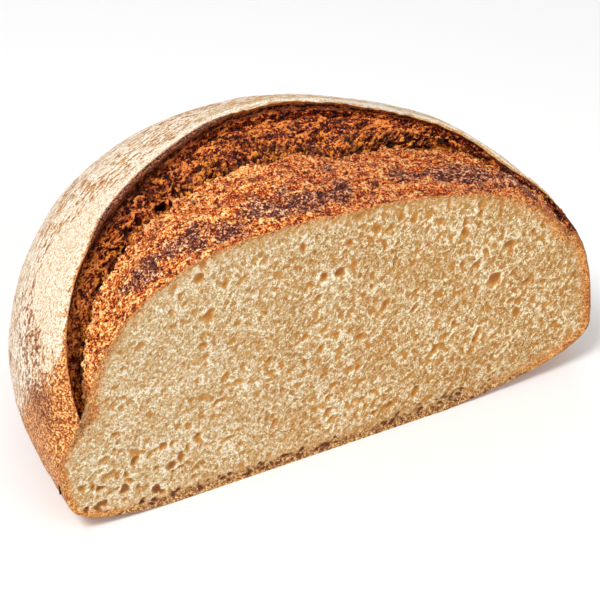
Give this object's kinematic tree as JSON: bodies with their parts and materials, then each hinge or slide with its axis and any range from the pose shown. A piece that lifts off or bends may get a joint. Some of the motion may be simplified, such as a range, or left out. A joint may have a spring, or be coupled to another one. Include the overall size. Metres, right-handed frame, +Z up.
{
  "type": "half sourdough loaf",
  "caption": "Half of a large round sourdough loaf, cut straight across, with a torn score and floured crust, resting on its base.",
  "frame": {"origin": "centre of the bounding box at the level of the base", "axes": "+Z up from the base, +X along the cut face, the cut face looks along -Y"},
  "size_m": [0.2466, 0.1644, 0.1171],
  "materials": {
    "baked_dough": "matte browned crust and open crumb"
  },
  "bodies": {
    "root": {"sourdough_loaf": "baked_dough"}
  },
  "joints": []
}
